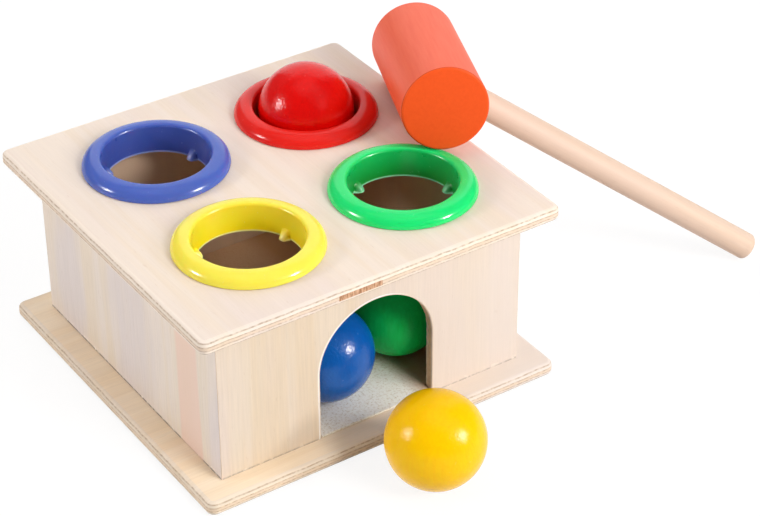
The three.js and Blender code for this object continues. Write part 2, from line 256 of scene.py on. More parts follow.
# %% Wood grain
def grain(tree, where, along, tones, turn=(0, 0, 0), centre=(0, 0, 0), streaks=0.025):
    """Colour and fibre height of a clear pale wood whose fibres run along axis 0, 1 or 2."""
    def stretched(width, length, detail):
        size = [width * MM] * 3
        size[along] = length * MM
        placed = add(tree, "Mapping", {
            "Vector": where, "Location": centre, "Rotation": turn, "Scale": size,
        }, vector_type="TEXTURE")
        return add(tree, "TexNoise", {"Vector": placed, "Scale": 1.0, "Detail": detail, "Roughness": 0.6})

    pale, warm, cool, pore = tones
    # Single fibres and pores are too fine for this picture, so they are drawn coarser, as bundles
    fibres = stretched(width=0.7, length=22, detail=2)
    pores = stretched(width=0.4, length=4, detail=1)
    bands = stretched(width=7, length=260, detail=3)
    drift = stretched(width=24, length=120, detail=2)
    band = add(tree, "MapRange", {
        "Value": bands, "From Min": 0.4, "From Max": 0.6,
    }, interpolation_type="SMOOTHSTEP")
    tone = add(tree, "Mix", {0: band, 6: pale, 7: warm}, **COLORS)
    cloud = add(tree, "MapRange", {
        "Value": drift, "From Min": 0.42, "From Max": 0.68, "To Max": 0.8,
    }, interpolation_type="SMOOTHSTEP")
    tone = add(tree, "Mix", {0: cloud, 6: tone, 7: cool}, **COLORS)
    streak = add(tree, "MapRange", {
        "Value": fibres, "From Min": 0.3, "From Max": 0.7, "To Min": 1 - streaks, "To Max": 1 + streaks / 2,
    })
    tone = add(tree, "Mix", {0: 1.0, 6: tone, 7: streak}, **COLORS, blend_type="MULTIPLY")
    fleck = add(tree, "MapRange", {"Value": pores, "From Min": 0.68, "From Max": 0.78, "To Max": 0.16})
    tone = add(tree, "Mix", {0: fleck, 6: tone, 7: pore}, **COLORS)
    return tone, fibres


print("wood grain ready")

# %% [markdown]
# On a cut edge the plies show: the core is browner and rougher than the faces, with thin glue lines
# between. There are five plies, and their glue lines lie one and three half plies either side of the
# middle. A ping-pong node folds the depth back and forth, so one pattern draws all four lines. At the
# foot of a piece ragged dark flecks are painted shade, in the crease and under the lower rim, and a
# little above them glue is squeezed out in pale beads.

# %% Cut edges
HALF_PLY = 0.12
PLY_LINES = [0.5 + HALF_PLY * step for step in (-3, -1, 1, 3)]
PLY_WAVE = 6 * MM
PLY_RAGGED = 0.25 * MM
CORE_FADE = 0.12 * MM
CORE_GRIT = 0.5 * MM
GLUE_LINE = 0.1 * MM
GLUE_FADE = 0.28 * MM
GLUE_BREAKS = 1.6 * MM
FLECK_TOP = 0.4 * MM
BEAD_SIZE = 2.6 * MM
BEAD_FULL = 0.9 * MM
BEAD_TOP = 1.3 * MM


def cut_edge(tree, where, height, low, high, face, core):
    """The colour with its core and glue lines, and the patterns of core, grit and torn fibres, the last also
    placing flecks of painted shade.
    """
    wobble = add(tree, "TexNoise", {"Vector": where, "Scale": 1 / PLY_WAVE, "Detail": 2})
    ragged = add(tree, "MapRange", {"Value": wobble, "To Min": -PLY_RAGGED, "To Max": PLY_RAGGED})
    level = add(tree, "Math", {0: height, 1: ragged}, operation="ADD")
    middle = (low + high) / 2
    depth = add(tree, "Math", {0: level, 1: middle}, operation="SUBTRACT")
    depth = add(tree, "Math", {0: depth}, operation="ABSOLUTE")
    ply = (high - low) * HALF_PLY
    in_core = add(tree, "MapRange", {
        "Value": depth, "From Min": ply, "From Max": ply - CORE_FADE, "To Max": 0.75,
    })
    # Sawn fibre ends are finer than this grit, which is drawn coarser to show at all
    grit = add(tree, "TexNoise", {"Vector": where, "Scale": 1 / CORE_GRIT, "Detail": 3})
    rough = add(tree, "Mix", {0: grit, 6: core[0], 7: core[1]}, **COLORS)
    tone = add(tree, "Mix", {0: in_core, 6: face, 7: rough}, **COLORS)
    off_line = add(tree, "Math", {0: depth, 1: ply}, operation="SUBTRACT")
    off_line = add(tree, "Math", {0: off_line, 1: ply}, operation="PINGPONG")
    torn_and_shade = add(tree, "TexNoise", {"Vector": where, "Scale": 1 / GLUE_BREAKS, "Detail": 2})
    glue = add(tree, "MapRange", {
        "Value": off_line, "From Min": GLUE_LINE, "From Max": GLUE_FADE, "To Min": 1, "To Max": 0,
    })
    broken = add(tree, "MapRange", {
        "Value": torn_and_shade, "From Min": 0.36, "From Max": 0.6, "To Min": 0.2, "To Max": 0.65,
    })
    glue = add(tree, "Math", {0: glue, 1: broken}, operation="MULTIPLY")
    tone = add(tree, "Mix", {0: glue, 6: tone, 7: "#A98660"}, **COLORS)
    return tone, in_core, grit, torn_and_shade


def foot_marks(tree, where, height, torn_and_shade, tone, foot, share):
    # Painted shade: dark ragged flecks in the crease at the foot and under a lower rim
    foot_shade = add(tree, "MapRange", {"Value": torn_and_shade, "From Min": 0.3, "From Max": 0.52, "To Max": share})
    beads = add(tree, "TexNoise", {"Vector": where, "Scale": 1 / BEAD_SIZE, "Detail": 1})
    beads = add(tree, "MapRange", {"Value": beads, "From Min": 0.64, "From Max": 0.68, "To Max": share})
    for mark, top, full, color in (
        (foot_shade, FLECK_TOP, 0, "#5C4630"),
        (beads, BEAD_TOP, BEAD_FULL, "#FFF6EA"),
    ):
        near = add(tree, "MapRange", {"Value": height, "From Min": foot + top, "From Max": foot + full})
        mark = add(tree, "Math", {0: mark, 1: near}, operation="MULTIPLY")
        tone = add(tree, "Mix", {0: mark, 6: tone, 7: color}, **COLORS)
    return tone


print("glue lines at", [round(share, 2) for share in PLY_LINES], "of the thickness")

# %% [markdown]
# A plywood then joins the two: grain on its faces along one axis, and plies stacked across another. Its
# tone can fade along X to a tint, from one place to another and up to a largest share: this is painted
# light that makes one end of a face paler. The foot marks, flecks of painted shade and beads of glue,
# are given as a height and a share.

# %% Plywood
FIBRE_HEIGHT = 0.05 * MM
CORE = ("#F0DDC8", "#E6CEB4")


def plywood(name, along, across, low, high, tones, core=CORE, light_fade=None, marks=None, streaks=0.025):
    material, tree, shader, where = new_material(name, IOR=1.48, Specular_IOR_Level=0.35)
    face, fibres = grain(tree, where, along, tones, streaks=streaks)
    place = add(tree, "SeparateXYZ", {0: where}, out=None)
    if light_fade:
        start, end, tint, most = light_fade
        share = add(tree, "MapRange", {
            "Value": place["X"], "From Min": start, "From Max": end, "To Max": most,
        })
        face = add(tree, "Mix", {0: share, 6: face, 7: tint}, **COLORS)
    tone, in_core, grit, torn_and_shade = cut_edge(tree, where, place[across], low, high, face, core)
    if marks:
        tone = foot_marks(tree, where, place["Z"], torn_and_shade, tone, *marks)
    relief = add(tree, "Mix", {0: in_core, 2: fibres, 3: grit})
    dull = add(tree, "MapRange", {"Value": fibres, "To Min": 0.5, "To Max": 0.68})
    dress(tree, shader, tone, relief, 0.25, FIBRE_HEIGHT, dull)
    print(name, "made")
    return material


# %% [markdown]
# ## Making a piece
# Each shape is worked in a bmesh and then written to an object that stays at the origin, with its place
# in its mesh. Faces are shaded smooth except over sharp corners, and a weighted normal modifier keeps
# the broad flats flat beside their rounded rims.

# %% Piece helper
SHARP_ANGLE = math.radians(38)


def make_piece(name, shape, materials, body, node):
    bmesh.ops.recalc_face_normals(shape, faces=shape.faces[:])
    mesh = bpy.data.meshes.new(name)
    shape.to_mesh(mesh)
    shape.free()
    for material in materials:
        mesh.materials.append(material)
    mesh.shade_smooth()
    mesh.set_sharp_from_angle(angle=SHARP_ANGLE)
    piece = bpy.data.objects.new(name, mesh)
    scene.collection.objects.link(piece)
    piece.modifiers.new("flat_faces", "WEIGHTED_NORMAL").keep_sharp = True
    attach(piece, body)
    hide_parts(node)
    print(name, len(mesh.polygons), "faces")


def bevel(shape, geom, offset, segments, affect="EDGES"):
    return bmesh.ops.bevel(
        shape, geom=geom, offset=offset, segments=segments, profile=0.5, affect=affect, material=-1,
    )


def moved_verts(result):
    return [part for part in result["geom"] if isinstance(part, bmesh.types.BMVert)]


# %% [markdown]
# ## Plates
# The base and the top are the same plywood plate: a rectangle with small corner radii whose rims are
# sanded round. A cube is bevelled twice, first on its upright edges and then on its rims. Sanding leaves
# the glue lines as fine grooves, so the edge is sliced at each line and the middle loop drawn in. The
# holes are circles bridged from face to face, with the faces filled round them.

# %% Plate shape
PLATE_CORNER = 3.1 * MM
PLATE_ROUND = 1.8 * MM
ROUND_STEPS = 8
RIM_ANGLE = math.radians(80)
RIM_SLOT = 1
GROOVE_WIDTH = 0.3 * MM
GROOVE_DEPTH = 0.16 * MM
HOLE_STEPS = 96
SINK_STEPS = 24


def circle_edges(shape, radius, x, y, z, segments):
    verts = bmesh.ops.create_circle(
        shape, cap_ends=False, radius=radius, segments=segments, matrix=Matrix.Translation((x, y, z)),
    )["verts"]
    return list({edge for vert in verts for edge in vert.link_edges})


def plate(node, holes=(), sinks=()):
    low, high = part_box(node)
    size = high - low
    shape = bmesh.new()
    block = Matrix.Translation((low + high) / 2) @ Matrix.Diagonal((*size, 1))
    bmesh.ops.create_cube(shape, size=1, matrix=block)
    upright = [e for e in shape.edges if abs(e.verts[0].co.z - e.verts[1].co.z) > size.z / 2]
    bevel(shape, upright, PLATE_CORNER, ROUND_STEPS)
    rims = [edge for edge in shape.edges if edge.calc_face_angle() > RIM_ANGLE]
    for face in bevel(shape, rims, PLATE_ROUND, ROUND_STEPS)["faces"]:
        face.material_index = RIM_SLOT
    for share in PLY_LINES:
        line = low.z + size.z * share
        for level in (line - GROOVE_WIDTH / 2, line, line + GROOVE_WIDTH / 2):
            everything = shape.verts[:] + shape.edges[:] + shape.faces[:]
            bmesh.ops.bisect_plane(shape, geom=everything, plane_co=(0, 0, level), plane_no=(0, 0, 1))
        shape.normal_update()
        for vert in [v for v in shape.verts if abs(v.co.z - line) < TINY]:
            vert.co -= Vector((vert.normal.x, vert.normal.y, 0)) * GROOVE_DEPTH
    outlines = {low.z: [], high.z: []}
    for level, edges in outlines.items():
        flat = [face for face in shape.faces if all(abs(v.co.z - level) < TINY for v in face.verts)]
        edges.extend(edge for face in flat for edge in face.edges)
        bmesh.ops.delete(shape, geom=flat, context="FACES_ONLY")
    for x, y, radius in holes:
        lower = circle_edges(shape, radius, x, y, low.z, HOLE_STEPS)
        upper = circle_edges(shape, radius, x, y, high.z, HOLE_STEPS)
        bmesh.ops.bridge_loops(shape, edges=lower + upper)
        outlines[low.z].extend(lower)
        outlines[high.z].extend(upper)
    for x, y, radius, deep in sinks:
        mouth = circle_edges(shape, radius, x, y, low.z, SINK_STEPS)
        outlines[low.z].extend(mouth)
        sunk = bmesh.ops.extrude_edge_only(shape, edges=mouth)
        bmesh.ops.translate(shape, verts=moved_verts(sunk), vec=(0, 0, deep))
        bottom = [part for part in sunk["geom"] if isinstance(part, bmesh.types.BMEdge)]
        bmesh.ops.contextual_create(shape, geom=bottom)
    for edges in outlines.values():
        bmesh.ops.triangle_fill(shape, use_beauty=True, use_dissolve=False, edges=edges)
    return shape


# %% [markdown]
# The base has a sunk hole for the head of each brad. Its grain runs along the front edge, and towards
# the right its tone is painted greyer, to cancel the warm light that the walls throw on it.

# %% Base
BRAD_SINK = 1.7 * MM
BRAD_SINK_DEPTH = 1.4 * MM
RIM_FOOT = 0.6 * MM
# Painted light: a greyer tint at the right of the base, against the warm light from the walls
RIGHT_PAINTED_LIGHT = (-30 * MM, 55 * MM, "#ECE2DC", 0.8)
BASE_FACE = ("#FAE8CE", "#F7E2C4", "#F2E0C8", "#B08A62")
BASE_EDGE = ("#F3E5D2", "#EFDEC6", "#EEDFCE", "#B0906C")

low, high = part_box("base_plate")
# Base face: a creamy strip round the walls, the warmest of the pale woods
base_ply = plywood("basswood_plywood_base", 0, 2, low.z, high.z, BASE_FACE, light_fade=RIGHT_PAINTED_LIGHT, streaks=0.05)
# Base rim: a rounded edge with clear streaks, ragged flecks of painted shade along its underside and four
# thin glue lines
base_rim = plywood(
    "sanded_plywood_base_rim", 0, 2, low.z, high.z, BASE_EDGE,
    light_fade=RIGHT_PAINTED_LIGHT, marks=(low.z + RIM_FOOT, 0.65), streaks=0.06,
)
brads = [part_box(node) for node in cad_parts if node.startswith("brad_")]
sinks = [((a.x + b.x) / 2, (a.y + b.y) / 2, BRAD_SINK, BRAD_SINK_DEPTH) for a, b in brads]
shape = plate("base_plate", sinks=sinks)
make_piece("base_plate_ply", shape, [base_ply, base_rim], "box", "base_plate")

# %% [markdown]
# The top has a hole for the sleeve of each ring, and on its front edge a short length of brown filler
# shows where the core ply was patched. The faces of that patch are cut out of the front edge and given
# their own darker wood.

# %% Top
SLEEVE_HOLE = 20.2 * MM
FILLER_SLOT = 2
FRONT_FACING = -0.6
PATCH_X = (-19.5 * MM, -2.6 * MM)
PATCH_Z = (1.65 * MM, 3.6 * MM)
BASSWOOD = ("#F2E4D6", "#F0E0CE", "#EDDED6", "#C39C78")
SANDED = ("#F8ECDE", "#F6E8D6", "#F6E9DF", "#D0AE8A")

low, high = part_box("top_plate")
# Top face: calm and nearly white with a breath of pink, so the coloured rings stand out
top_ply = plywood("basswood_plywood_top", 1, 2, low.z, high.z, BASSWOOD)
# Top rim: freshly sanded, a shade lighter than the face it frames, with flecks of painted shade along its
# lower edge
top_rim = plywood("sanded_plywood_top_rim", 1, 2, low.z, high.z, SANDED, marks=(low.z + RIM_FOOT, 0.4))
ring_boxes = [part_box(f"{color}_ring") for color in ("blue", "red", "green", "yellow")]
holes = [((a.x + b.x) / 2, (a.y + b.y) / 2, SLEEVE_HOLE) for a, b in ring_boxes]
shape = plate("top_plate", holes=holes)

patch_low = Vector((PATCH_X[0], low.y, low.z + PATCH_Z[0]))
patch_high = Vector((PATCH_X[1], low.y, low.z + PATCH_Z[1]))
for axis in (0, 2):
    for corner in (patch_low, patch_high):
        front = [face for face in shape.faces if face.normal.y < FRONT_FACING]
        edges = list({edge for face in front for edge in face.edges})
        verts = list({vert for face in front for vert in face.verts})
        direction = Vector((0, 0, 0))
        direction[axis] = 1
        bmesh.ops.bisect_plane(shape, geom=front + edges + verts, plane_co=corner, plane_no=direction)
patch = []
for face in shape.faces:
    spot = face.calc_center_median()
    in_patch = all(patch_low[axis] < spot[axis] < patch_high[axis] for axis in (0, 2))
    if in_patch and face.normal.y < FRONT_FACING:
        face.material_index = FILLER_SLOT
        patch.append(face)
print("patch faces", len(patch))

# Filler: a brown scar in the pale edge, with upright ticks of end grain
filler, tree, shader, where = new_material("brown_core_filler", Roughness=0.75, IOR=1.45)
ticks = add(tree, "Mapping", {"Vector": where, "Scale": (0.5 * MM, 4 * MM, 3 * MM)}, vector_type="TEXTURE")
ticks = add(tree, "TexNoise", {"Vector": ticks, "Scale": 1, "Detail": 3})
contrast = add(tree, "MapRange", {"Value": ticks, "From Min": 0.35, "From Max": 0.65})
tone = add(tree, "Mix", {0: contrast, 6: "#E0B896", 7: "#A8744E"}, **COLORS)
dress(tree, shader, tone, ticks, 0.5, 0.08 * MM)
make_piece("top_plate_ply", shape, [top_ply, top_rim, filler], "box", "top_plate")

# %% [markdown]
# ## Walls
# The four panels meet in mitres, so only their joint lines show at the corners. A panel starts as the
# outline of its outer face. For the arch, a circle is cut to its upper half and its ends are drawn
# down to the foot. The face is pushed back to the panel's thickness, the inner ends are pulled in to
# make the mitres, and the edges are eased with a small bevel. The saw left chips along the inner edge
# of the arch. Each panel is made at the front and then turned to its own side.

# %% Panel outline
WALL_OUTSIDE = 60.9 * MM
WALL_THICKNESS = 4 * MM
WALL_INSIDE = WALL_OUTSIDE - WALL_THICKNESS
MITRE_PLAY = 0.02 * MM
PANEL_END = WALL_OUTSIDE - MITRE_PLAY
ARCH_CENTRE = 1.4 * MM
ARCH_RADIUS = 22.85 * MM
ARCH_JAMB = 25.7 * MM
ARCH_STEPS = 160
JAMB_CUTS = 31


def outer_face(shape, foot, top, spring=None):
    """The outer face of a panel, with an arch in it if the height is given where the arch springs."""
    corners = ((-PANEL_END, foot), (PANEL_END, foot), (PANEL_END, top), (-PANEL_END, top))
    foot_left, foot_right, top_right, top_left = (
        shape.verts.new((x, -WALL_OUTSIDE, z)) for x, z in corners
    )
    chain = [foot_right, top_right, top_left, foot_left]
    for first, second in zip(chain, chain[1:]):
        shape.edges.new((first, second))
    if spring is None:
        shape.edges.new((foot_left, foot_right))
    else:
        place = Matrix.Translation((ARCH_CENTRE, -WALL_OUTSIDE, spring))
        arc = bmesh.ops.create_circle(
            shape, cap_ends=False, radius=ARCH_RADIUS, segments=ARCH_STEPS,
            matrix=place @ Matrix.Rotation(math.pi / 2, 4, "X"),
        )["verts"]
        ends = [vert for vert in arc if abs(vert.co.z - spring) < TINY]
        lower_half = [vert for vert in arc if vert.co.z < spring - TINY]
        bmesh.ops.delete(shape, geom=lower_half, context="VERTS")
        jambs = bmesh.ops.extrude_vert_indiv(shape, verts=ends)
        for vert in jambs["verts"]:
            vert.co.z = foot
            shape.edges.new((vert, foot_left if vert.co.x < ARCH_CENTRE else foot_right))
        bmesh.ops.subdivide_edges(shape, edges=jambs["edges"], cuts=JAMB_CUTS)
    bmesh.ops.contextual_create(shape, geom=shape.edges[:])


# %% Panel shape
ARCH_EASE = 0.55 * MM
CORNER_EASE = 0.2 * MM
EASED_ANGLE = math.radians(40)
FOOT_REACH = 0.25 * MM
CHIP_DEPTH = 0.8 * MM
CHIP_SIZE = 1.3 * MM
INNER_SLOT = 1
ARRIS_SLOT = 2
SAWN_SLOT = 3


def panel(node, turn, arched=False):
    low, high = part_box(node)
    foot = low.z - FOOT_REACH
    spring = low.z + ARCH_JAMB
    shape = bmesh.new()
    outer_face(shape, foot, high.z, spring if arched else None)
    pushed = moved_verts(bmesh.ops.extrude_face_region(shape, geom=shape.faces[:]))
    bmesh.ops.translate(shape, verts=pushed, vec=(0, WALL_THICKNESS, 0))
    for vert in pushed:
        if abs(abs(vert.co.x) - PANEL_END) < TINY:
            vert.co.x -= math.copysign(WALL_THICKNESS, vert.co.x)
    bmesh.ops.recalc_face_normals(shape, faces=shape.faces[:])
    for face in shape.faces if arched else ():
        spot = face.calc_center_median()
        within = abs(spot.x) < WALL_OUTSIDE / 2 and foot + TINY < spot.z < high.z - MM
        if within and abs(face.normal.y) < 0.1:
            face.material_index = SAWN_SLOT
    standing = [edge for edge in shape.edges if max(vert.co.z for vert in edge.verts) > foot + TINY]
    sharp = [edge for edge in standing if edge.calc_face_angle() > EASED_ANGLE]
    arch = [
        edge for edge in sharp
        if all(abs(v.co.x) < WALL_OUTSIDE / 2 and v.co.z < high.z - TINY for v in edge.verts)
    ]
    corners = [edge for edge in sharp if edge not in arch]
    for edges, ease, segments in ((arch, ARCH_EASE, 4), (corners, CORNER_EASE, 2)):
        for face in bevel(shape, edges, ease, segments)["faces"] if edges else ():
            face.material_index = ARRIS_SLOT
    shape.normal_update()
    for face in shape.faces:
        if face.normal.y > 0.5:
            face.material_index = INNER_SLOT
    for vert in shape.verts if arched else ():
        out = Vector((vert.co.x - ARCH_CENTRE, 0, max(0, vert.co.z - spring)))
        at_back = vert.co.y > -WALL_INSIDE - 2 * ARCH_EASE
        if at_back and out.length < ARCH_RADIUS + ARCH_EASE / 2:
            vert.co += out.normalized() * CHIP_DEPTH * max(0, noise.noise(vert.co / CHIP_SIZE))
    turned = Matrix.Rotation(turn, 3, "Z")
    bmesh.ops.rotate(shape, verts=shape.verts[:], cent=(0, 0, 0), matrix=turned)
    return shape


# %% [markdown]
# All walls have upright grain. The inside and the sanded corners count as core throughout: plies far
# thicker than the toy keep every glue line out of them.

# %% Wall woods
WALL_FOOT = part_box("left_panel")[0].z + 0.1 * MM
FRONT_FACE = ("#E6D8C6", "#E4D3BC", "#E4D5CA", "#AC8660")
SIDE_FACE = ("#EFE0CE", "#ECDCC7", "#E9DACD", "#B58C63")
LEFT_FACE = ("#F0E4D8", "#EEE0CE", "#E6DCDA", "#B08A66")
# Sawn tones: ply edge, painted deeper for the warm shade on the jamb
SAWN_FACE_SHADED = ("#F6D8AC", "#EECA98", "#ECCEA6", "#8A6238")
SAWN_CORE_SHADED = ("#F0CE9E", "#D8AE7A")
# Inside tones: painted brown as the shade inside the box
RAW_INSIDE_SHADED = ("#E4A462", "#D4904E", "#CA8648", "#8A5228")
# Corner tones: sanded wood, painted near white as a highlight on the eased edges
CORNER_HIGHLIGHT = ("#FFFDFA", "#FFFBF4", "#FFFBF8", "#EAD6C0")
ALL_CORE = (-1, 1)

# Front face: a soft beige with visible streaks; painted light makes it paler to the right, and flecks of
# painted shade run along its foot
front_ply = plywood(
    "basswood_plywood_front", 2, 1, -WALL_OUTSIDE, -WALL_INSIDE, FRONT_FACE,
    light_fade=(-20 * MM, 60 * MM, "#EBE0DA", 0.5), marks=(WALL_FOOT, 0.35), streaks=0.05,
)
# Right and back faces: the same quiet beige without a fade
right_ply = plywood("basswood_plywood_right", 2, 0, WALL_INSIDE, WALL_OUTSIDE, SIDE_FACE)
back_ply = plywood("basswood_plywood_back", 2, 1, WALL_INSIDE, WALL_OUTSIDE, SIDE_FACE)
# Left face: cooler and greyer, with ragged dark flecks of painted shade along its foot
left_ply = plywood(
    "basswood_plywood_left", 2, 0, -WALL_OUTSIDE, -WALL_INSIDE, LEFT_FACE,
    marks=(WALL_FOOT, 0.75), streaks=0.05,
)
# Sawn arch: honey brown where the saw laid the plies open, painted deeper for the warm shade on the jamb
cut_ply = plywood("sawn_plywood_arch", 2, 1, -WALL_OUTSIDE, -WALL_INSIDE, SAWN_FACE_SHADED, core=SAWN_CORE_SHADED)
# Inside: unsanded wood, painted a deeper brown as the warm shade inside the box
inside_ply = plywood("raw_plywood_inside_shaded", 2, 2, *ALL_CORE, RAW_INSIDE_SHADED)
# Arris: a bright thread along each sanded corner, painted near white as a highlight
arris = plywood("sanded_plywood_arris_highlight", 2, 2, *ALL_CORE, CORNER_HIGHLIGHT)

# %% [markdown]
# The left panel was peeled across the heart of the log, so a band of pinkish heartwood runs up it near
# the front corner. The band is a distance from a line, and slow noise lets its edges wander.

# %% Heartwood band
HEART_MIDDLE = -41.3 * MM
HEART_EDGE = 7.8 * MM
HEART_FULL = 6.2 * MM
HEART_WANDER = 2.2 * MM

tree = left_ply.node_tree
shader = tree.nodes["Principled BSDF"]
where = add(tree, "TexCoord", out="Object")
wander = add(tree, "Mapping", {"Vector": where, "Scale": (9 * MM, 5 * MM, 60 * MM)}, vector_type="TEXTURE")
wander = add(tree, "TexNoise", {"Vector": wander, "Scale": 1, "Detail": 3})
wander = add(tree, "MapRange", {"Value": wander, "To Min": -HEART_WANDER, "To Max": HEART_WANDER})
along = add(tree, "SeparateXYZ", {0: where}, out="Y")
along = add(tree, "Math", {0: along, 1: wander}, operation="ADD")
away = add(tree, "Math", {0: along, 1: HEART_MIDDLE}, operation="SUBTRACT")
away = add(tree, "Math", {0: away}, operation="ABSOLUTE")
heart = add(tree, "MapRange", {"Value": away, "From Min": HEART_EDGE, "From Max": HEART_FULL, "To Max": 0.75})
plain = shader.inputs["Base Color"].links[0].from_socket
pink = add(tree, "Mix", {0: heart, 6: plain, 7: "#F2D2C0"}, **COLORS)
tree.links.new(pink, shader.inputs["Base Color"])
print("heartwood", round(2 * HEART_EDGE / MM, 1), "mm wide")

# %% [markdown]
# A painted highlight runs as a pale line round the arch, where the eased edge catches the light, and it
# fades out on the right. The distance from the arch is measured from its centre, with the heights below
# the springing counted as nought, so that one length serves the round part and the straight jambs.

# %% Painted highlight round the arch
HIGHLIGHT_INNER = 0.75 * MM
HIGHLIGHT_OUTER = 1.15 * MM
HIGHLIGHT_FULL = 2 * MM
HIGHLIGHT_END = 14 * MM

tree = front_ply.node_tree
shader = tree.nodes["Principled BSDF"]
where = add(tree, "TexCoord", out="Object")
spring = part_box("front_panel")[0].z + ARCH_JAMB
place = add(tree, "Mapping", {"Vector": where, "Location": (ARCH_CENTRE, 0, spring)}, vector_type="TEXTURE")
place = add(tree, "SeparateXYZ", {0: place}, out=None)
above = add(tree, "Math", {0: place["Z"], 1: 0}, operation="MAXIMUM")
reach = add(tree, "CombineXYZ", {"X": place["X"], "Z": above})
reach = add(tree, "VectorMath", {0: reach}, operation="LENGTH", out="Value")
line = add(tree, "MapRange", {
    "Value": reach, "From Min": ARCH_RADIUS + HIGHLIGHT_INNER, "From Max": ARCH_RADIUS + HIGHLIGHT_OUTER,
    "To Min": 0.95, "To Max": 0,
})
lit_left_part = add(tree, "MapRange", {"Value": place["X"], "From Min": HIGHLIGHT_END, "From Max": HIGHLIGHT_FULL})
line = add(tree, "Math", {0: line, 1: lit_left_part}, operation="MULTIPLY")
plain = shader.inputs["Base Color"].links[0].from_socket
# Painted highlight: white mixed in along the arch's edge, strongest on the left
pale = add(tree, "Mix", {0: line, 6: plain, 7: "#FFFFFF"}, **COLORS)
tree.links.new(pale, shader.inputs["Base Color"])
print("line", round(HIGHLIGHT_OUTER / MM, 2), "mm wide")

# %% Four panels
for side, outer, turn in (
    ("front", front_ply, 0),
    ("right", right_ply, math.pi / 2),
    ("back", back_ply, math.pi),
    ("left", left_ply, -math.pi / 2),
):
    shape = panel(f"{side}_panel", turn, arched=side == "front")
    woods = [outer, inside_ply, arris, cut_ply]
    make_piece(f"{side}_panel_ply", shape, woods, "box", f"{side}_panel")

# %% [markdown]
# ## Floor sheet
# A thin grey fibreboard lies on the floor of the box and runs out through the arch. Pressed fibres give
# it a fine salt and pepper speckle. Further in, and behind the right jamb, it is painted brown as the
# warm shade inside the box. Its outline has eight corners, so it is one face pushed up.

# %% Fibreboard
# The real fibres are finer than this speckle, which is drawn coarser to show at all
SPECKLE = 0.9 * MM
SIDE_PAINTED_SHADE = (17 * MM, 25 * MM)
INNER_PAINTED_SHADE = (-40 * MM, -10 * MM)

# Fibreboard: a dry, pale grey ground that the bright balls sit on, with painted brown shade towards the dark
# inside and behind the right jamb
board, tree, shader, where = new_material(
    "grey_fibreboard", Roughness=0.85, IOR=1.45, Specular_IOR_Level=0.2,
)
grit = add(tree, "TexNoise", {"Vector": where, "Scale": 1 / SPECKLE, "Detail": 3, "Roughness": 0.7})
speckle = add(tree, "MapRange", {"Value": grit, "From Min": 0.32, "From Max": 0.52})
tone = add(tree, "Mix", {0: speckle, 6: "#D2C2A8", 7: "#FFFDF4"}, **COLORS)
cloud = add(tree, "TexNoise", {"Vector": where, "Scale": 1 / (9 * MM), "Detail": 2})
cloud = add(tree, "MapRange", {"Value": cloud, "To Max": 0.6})
tone = add(tree, "Mix", {0: cloud, 6: tone, 7: "#FFFAF0"}, **COLORS)
place = add(tree, "SeparateXYZ", {0: where}, out=None)
# Painted shade: brown mixed in behind the right jamb and further into the box
for axis, (start, end), most, shade_color in (
    ("X", SIDE_PAINTED_SHADE, 0.85, "#B88450"),
    ("Y", INNER_PAINTED_SHADE, 0.8, "#EDBA82"),
):
    share = add(tree, "MapRange", {"Value": place[axis], "From Min": start, "From Max": end, "To Max": most})
    tone = add(tree, "Mix", {0: share, 6: tone, 7: shade_color}, **COLORS)
dress(tree, shader, tone, grit, 0.6, 0.1 * MM)
print("fibreboard made")

# %% Sheet shape
SHEET_FIT = 0.3 * MM
SHEET_ROUND = 0.12 * MM

low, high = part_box("floor_liner")
front_edge = -WALL_INSIDE + SHEET_FIT
tongue = ARCH_RADIUS - SHEET_FIT
corners = (
    (low.x, front_edge), (ARCH_CENTRE - tongue, front_edge),
    (ARCH_CENTRE - tongue, low.y), (ARCH_CENTRE + tongue, low.y),
    (ARCH_CENTRE + tongue, front_edge), (high.x, front_edge),
    (high.x, high.y), (low.x, high.y),
)
shape = bmesh.new()
shape.faces.new([shape.verts.new((x, y, low.z)) for x, y in corners])
raised = moved_verts(bmesh.ops.extrude_face_region(shape, geom=shape.faces[:]))
bmesh.ops.translate(shape, verts=raised, vec=(0, 0, high.z - low.z))
bevel(shape, shape.edges[:], SHEET_ROUND, 2)
make_piece("floor_sheet_fibreboard", shape, [board], "box", "floor_liner")

# %% [markdown]
# ## Rings
# Each ring is moulded in soft polyethylene: a rounded flange, a sleeve down through the plate and
# three small ramped nubs at the foot of the sleeve that hold a ball. The section is drawn as a few
# corners, the corners are rounded with a vertex bevel, and the section is spun. The flange is rounded
# while it is as wide as it is high and then stretched to its real width, which makes its curve an oval.
# A nub is the patch of bore beneath it drawn inwards, more at the foot than at the top.

# %% Ring shape
BORE = 18.5 * MM
MOUTH = 19.3 * MM
CROWN = 20.8 * MM
SLEEVE = 19.9 * MM
FLANGE_HEIGHT = 4.2 * MM
FLANGE_ROUND = 4.1 * MM
MOUTH_ROUND = 1.2 * MM
FOOT_ROUND = 0.3 * MM
NUB_RISE = 3.5 * MM
NUB_REACH = 2.6 * MM
NUB_HALF_WIDTH = 2.1 * MM
NUB_TAPER = 0.4
NUB_LEVELS = 7
BORE_WALL = 0.5 * MM
SPIN_STEPS = 240


def spin(shape, axis, steps):
    bmesh.ops.spin(
        shape, geom=shape.verts[:] + shape.edges[:], cent=(0, 0, 0), axis=axis, dvec=(0, 0, 0),
        angle=2 * math.pi, steps=steps, use_merge=True, use_duplicate=False,
    )


